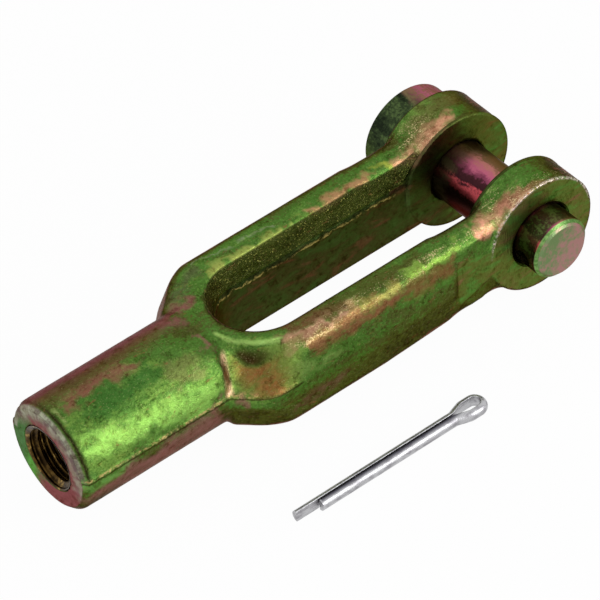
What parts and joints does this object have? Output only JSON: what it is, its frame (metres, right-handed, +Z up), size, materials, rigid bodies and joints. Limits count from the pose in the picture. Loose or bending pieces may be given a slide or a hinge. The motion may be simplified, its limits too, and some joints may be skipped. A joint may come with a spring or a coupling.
{
  "type": "clevis rod end",
  "caption": "Forged fork with a round tapped shank, a headed cross pin through its ears, and a split pin lying beside it.",
  "frame": {"origin": "where the clevis pin's axis crosses the thread's axis, midway between the ears' inner faces", "axes": "+X along the thread axis from the shank's mouth to the ears, +Y along the clevis pin towards its head, +Z up; the ears and the split pin lie on the ground at z = -12.3 mm"},
  "size_m": [0.1159, 0.0595, 0.0246],
  "materials": {
    "forged_fork": "forged steel, plated with iridescent yellow-green zinc; orange-peel forging skin, milled ear face",
    "turned_pin": "turned steel, plated with iridescent zinc, green and pink",
    "split_pin_wire": "drawn half-round steel wire, bright zinc"
  },
  "bodies": {
    "yoke": {"fork": "forged_fork", "split_pin": "split_pin_wire"},
    "pin": {"clevis_pin": "turned_pin"}
  },
  "joints": [
    {"name": "pin_slide", "type": "slide", "parent": "yoke", "child": "pin", "axis": [0, 1, 0], "range_m": [-0.001, 0.045]}
  ]
}
